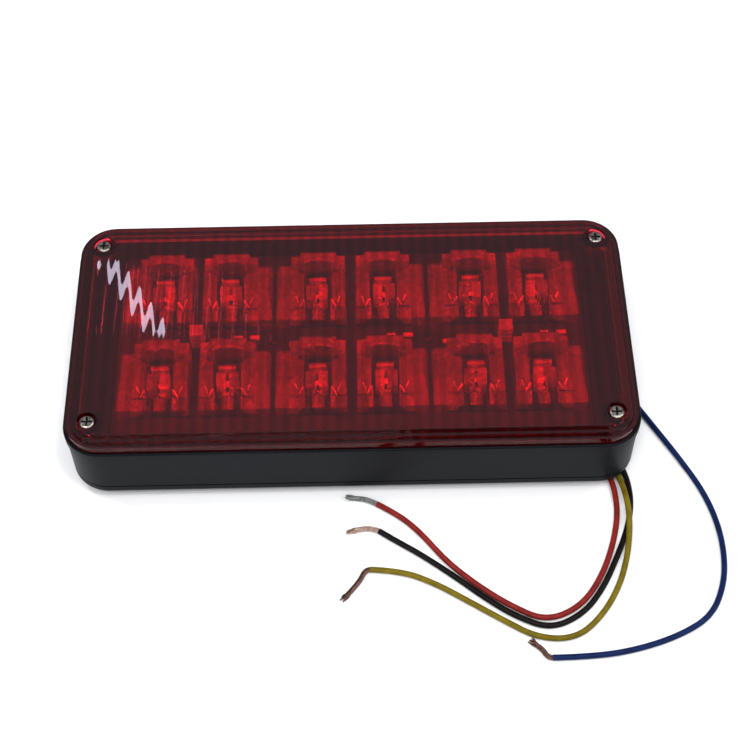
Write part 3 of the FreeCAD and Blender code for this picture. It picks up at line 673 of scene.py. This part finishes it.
# Lens: one moulding in clear red polycarbonate. A flange sits on the rim, two steps rise to the
# window, a round well takes each screw, and shallow flutes run across the inside of the window.
lens_low, lens_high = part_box("lens")
LENS_R = 12.1
FLANGE_H, STEP_H, STEP_IN = 3.1, 1.15, 1.8
WINDOW_T, CAVITY_IN, CAVITY_R = 2.0, 4.8, 7.3
WELL_R, PAD_R, HOLE_R = 3.4, 4.6, 1.75
LENS_EDGE = 0.35 * MM
SCREW_IN_X, SCREW_IN_Y = 8.1, 9.5
FLUTE_PITCH, FLUTE_DEPTH = 4.4 * MM, 0.04 * MM
QUARTER_FLUTE = FLUTE_PITCH / 4
PAST = 2 * MM                          # how far a cutter runs on past the face that it cuts
NEAR = 0.01
lens_size = lens_high - lens_low
SCREW_X = lens_size.x / 2 - SCREW_IN_X * MM
SCREW_Y = lens_size.y / 2 - SCREW_IN_Y * MM
CORNERS = [(sx, sy) for sx in (-1, 1) for sy in (-1, 1)]


def rounded_plate(length, width, radius, height):
    """A plane with its corners rounded, at that height, left open in edit mode."""
    bpy.ops.object.select_all(action="DESELECT")
    bpy.ops.mesh.primitive_plane_add(size=1.0, location=(0, 0, height))
    plate = bpy.context.object
    plate.scale = (length, width, 1.0)
    bpy.ops.object.transform_apply(location=True, rotation=True, scale=True)
    bpy.ops.object.mode_set(mode="EDIT")
    bpy.ops.mesh.select_all(action="SELECT")
    bpy.ops.mesh.bevel(offset=radius, segments=14, affect="VERTICES")
    bpy.ops.mesh.select_all(action="SELECT")
    return plate


def rise(height):
    """Extrude what is selected straight up."""
    bpy.ops.mesh.extrude_region_move(TRANSFORM_OT_translate={"value": (0, 0, height)})


def add_post(x, y, radius, low, high):
    """A round upright cutter between two heights."""
    bpy.ops.object.select_all(action="DESELECT")
    bpy.ops.mesh.primitive_cylinder_add(vertices=48, radius=radius, depth=high - low,
                                        location=(x, y, (low + high) / 2))
    bpy.ops.object.transform_apply(location=True, rotation=True, scale=True)
    return bpy.context.object


def face_outwards():
    """Turn all faces outwards."""
    bpy.ops.mesh.select_all(action="SELECT")
    bpy.ops.mesh.normals_make_consistent(inside=False)


def model_cavity(ceiling):
    """The hollow under the window: its flat top is scored across and pulled into flutes."""
    cavity = rounded_plate(lens_size.x - 2 * CAVITY_IN * MM, lens_size.y - 2 * CAVITY_IN * MM,
                           CAVITY_R * MM, lens_low.z - PAST / 2)
    rise(ceiling - lens_low.z + PAST / 2)
    face_outwards()
    scores = int(lens_size.x / 2 / QUARTER_FLUTE) + 1
    for score in range(-scores, scores + 1):
        bpy.ops.mesh.select_all(action="SELECT")
        bpy.ops.mesh.bisect(plane_co=(score * QUARTER_FLUTE, 0, 0), plane_no=(1, 0, 0))
    bpy.ops.mesh.select_mode(type="VERT")
    for first, lift in ((0, FLUTE_DEPTH), (2, -FLUTE_DEPTH)):
        bpy.ops.mesh.select_all(action="DESELECT")
        bpy.ops.object.mode_set(mode="OBJECT")
        for vertex in cavity.data.vertices:
            quarters = vertex.co.x / QUARTER_FLUTE
            on_line = abs(quarters - round(quarters)) < NEAR and round(quarters) % 4 == first
            vertex.select = on_line and vertex.co.z > ceiling - NEAR * MM
        bpy.ops.object.mode_set(mode="EDIT")
        bpy.ops.transform.translate(value=(0, 0, lift))
    bpy.ops.object.mode_set(mode="OBJECT")
    for sx, sy in CORNERS:
        pad = add_post(sx * SCREW_X, sy * SCREW_Y, PAD_R * MM, lens_low.z - PAST, lens_high.z)
        combine(cavity, pad, "DIFFERENCE")
    return cavity


def model_lens():
    """The stepped outside, less its cavity, the four wells and the four screw holes."""
    lens = rounded_plate(lens_size.x, lens_size.y, LENS_R * MM, lens_low.z)
    rise(FLANGE_H * MM)
    for step in range(2):
        bpy.ops.mesh.inset(thickness=STEP_IN * MM, depth=0)
        rise(STEP_H * MM)
    face_outwards()
    bpy.ops.object.mode_set(mode="OBJECT")
    combine(lens, model_cavity(lens_high.z - WINDOW_T * MM), "DIFFERENCE")
    well_floor = lens_low.z + FLANGE_H * MM
    for sx, sy in CORNERS:
        x, y = sx * SCREW_X, sy * SCREW_Y
        combine(lens, add_post(x, y, WELL_R * MM, well_floor, lens_high.z + PAST), "DIFFERENCE")
        combine(lens, add_post(x, y, HOLE_R * MM, lens_low.z - PAST, lens_high.z), "DIFFERENCE")
    return soften_edges(lens, LENS_EDGE, segments=3, sharper_than=50)


# The red is deep and clear, and the outside shows the flutes as a very slight waviness. The
# thick border scatters more light than the window, so it has a finish of its own. The red is
# painted lighter and darker in bands in step with the flutes: painted light and shade for the
# stripes that the flutes throw.
WAVE_HEIGHT = 0.0066 * MM
BANDS_AT_SCALE_1 = 20 / (2 * math.pi)   # a wave texture's bands in each metre at scale 1
PAINTED_FLUTE_STRIPE_REDS = (0.72, 0.052, 0.078), (0.92, 0.066, 0.100)


def red_polycarbonate(name, clear, ior):
    """Red that lets that share of light through clearly and scatters the rest."""
    material, shader = new_material(name, (0.84, 0.060, 0.085), 0.01)
    shader.inputs["Transmission Weight"].default_value = clear
    shader.inputs["IOR"].default_value = ior
    place = add_node(material, "ShaderNodeTexCoord")
    wave = add_node(material, "ShaderNodeTexWave", wave_type="BANDS", bands_direction="X",
                    Scale=1 / (BANDS_AT_SCALE_1 * FLUTE_PITCH), Distortion=0.0)
    material.node_tree.links.new(place.outputs["Object"], wave.inputs["Vector"])
    raise_bumps(material, shader, wave.outputs["Fac"], WAVE_HEIGHT)
    # painted light and shade: the red runs lighter and darker in bands in step with the flutes
    vary_colour(material, shader, wave.outputs["Fac"], PAINTED_FLUTE_STRIPE_REDS)
    let_lamps_through(material, shader, (0.90, 0.09, 0.11))
    return material


red_window = red_polycarbonate("red_window", 0.9945, 1.58)
red_border = red_polycarbonate("red_border", 0.970, 1.58)
# painted shade: the risers facing the front take a copy of the red with a low IOR, so they reflect
# less and look darker
shaded_red_riser = red_polycarbonate("shaded_red_riser", 0.990, 1.20)

red_cover = model_lens()
red_cover.name = "red_lens"
red_cover.data.materials.clear()
for finish in (red_window, red_border, shaded_red_riser):
    red_cover.data.materials.append(finish)
WINDOW, BORDER, RISER = range(3)
for face in red_cover.data.polygons:
    face.material_index = WINDOW
    if face.center.z < lens_high.z - STEP_H * 2 * MM:
        front_riser = face.normal.z < 0.3 and face.center.y < 0
        face.material_index = RISER if front_riser else BORDER
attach(red_cover, "root")
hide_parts("lens")


# Screws: stainless pan heads with a cross recess, four M3 through the lens and four M2.5 through
# the board. Tumbling has dulled them and left darker patches at random. Below the top of the lens
# screw heads the colour is painted darker, as painted shade in the recess, round the rim and down
# the sides; the board screws lie wholly below it and are painted dark all over.
HEAD_TOP = lens_high.z - 0.3 * MM
steel, shader = new_material("screw_steel", (0.44, 0.41, 0.37), 0.3)
shader.inputs["Metallic"].default_value = 1.0
wear = noise_on(steel, 1100.0, 4.0)
vary_roughness(steel, shader, wear.outputs["Fac"], 0.20, 0.50)
raise_bumps(steel, shader, wear.outputs["Fac"], 0.00006)
place = add_node(steel, "ShaderNodeTexCoord")
level = add_node(steel, "ShaderNodeSeparateXYZ")
# painted shade: the colour darkens with height below the lens screw heads, and the board screws,
# wholly lower, are painted dark all over
painted_shade_ramp = add_node(steel, "ShaderNodeMapRange")
painted_shade_ramp.inputs["From Min"].default_value = HEAD_TOP - 0.9 * MM
painted_shade_ramp.inputs["From Max"].default_value = HEAD_TOP - 0.1 * MM
wear_and_painted_shade = add_node(steel, "ShaderNodeMath", operation="MULTIPLY")
for source, target in ((place.outputs["Object"], level.inputs[0]),
                       (level.outputs["Z"], painted_shade_ramp.inputs["Value"]),
                       (painted_shade_ramp.outputs["Result"], wear_and_painted_shade.inputs[0]),
                       (wear.outputs["Fac"], wear_and_painted_shade.inputs[1])):
    steel.node_tree.links.new(source, target)
vary_colour(steel, shader, wear_and_painted_shade.outputs[0], ((0.07, 0.06, 0.05), (0.62, 0.58, 0.52)))
finish_node("lens_screws", steel)
finish_node("board_screws", steel)


# Floor and lights: a pale sheet of paper under large soft lamps at the front left, the right and
# overhead, four small ones that put sparkle in the optics, and one thin tube lamp high behind,
# which the lens mirrors at its left end.
bpy.ops.object.select_all(action="DESELECT")
bpy.ops.mesh.primitive_plane_add(size=6.0)
floor = bpy.context.object
floor.name = "floor"
pale, shader = new_material("pale_floor", (0.86, 0.86, 0.86), 0.9)
paper = noise_on(pale, 60.0, 3.0)
vary_colour(pale, shader, paper.outputs["Fac"], ((0.89, 0.89, 0.89), (0.91, 0.91, 0.91)))
floor.data.materials.append(pale)


def soft_lamp(name, place, aim, size, power, height=None):
    lamp = bpy.data.lights.new(name, "AREA")
    lamp.shape = "RECTANGLE"
    lamp.size = size
    lamp.size_y = height or size
    lamp.energy = power
    holder = bpy.data.objects.new(name, lamp)
    bpy.context.scene.collection.objects.link(holder)
    holder.location = place
    holder.rotation_euler = (Vector(aim) - Vector(place)).to_track_quat("-Z", "Y").to_euler()
    return holder


soft_lamp("key_lamp", (-0.7, -0.9, 1.3), (0, 0, 0), 1.4, 12.4)
soft_lamp("fill_lamp", (1.0, -0.5, 1.2), (0, 0, 0), 1.3, 11.0)
top_lamp = soft_lamp("top_lamp", (-0.1, 0.0, 1.6), (0, 0, 0), 1.0, 8.5)
top_lamp.visible_glossy = False
for number, spot in enumerate(((-0.55, 0.15, 1.1), (0.60, 0.10, 1.2), (-0.15, -0.60, 1.2),
                               (0.25, -0.35, 1.3))):
    soft_lamp("spot_%d" % (number + 1), spot, (0, 0, 0), 0.06, 2.2)
TUBE_ENDS = Vector((-0.317, 0.963, 1.185)), Vector((-0.252, 0.882, 1.230))
tube_middle = (TUBE_ENDS[0] + TUBE_ENDS[1]) / 2
tube = soft_lamp("tube_lamp", tube_middle, (-0.076, 0.013, 0.033), 0.013, 0.042,
                 height=(TUBE_ENDS[1] - TUBE_ENDS[0]).length)
tube.data.color = (0.86, 0.78, 1.0)
toward = (tube_middle - Vector((-0.076, 0.013, 0.033))).normalized()
along = (TUBE_ENDS[0] - TUBE_ENDS[1]).normalized()
along = (along - toward * along.dot(toward)).normalized()
tube.rotation_euler = Matrix((along.cross(toward), along, toward)).transposed().to_euler()

world = bpy.data.worlds.new("studio")
bpy.context.scene.world = world
world.use_nodes = True
world.node_tree.nodes["Background"].inputs["Color"].default_value = (0.86, 0.88, 1.0, 1.0)
world.node_tree.nodes["Background"].inputs["Strength"].default_value = 0.34
bpy.context.scene.view_settings.view_transform = "Standard"
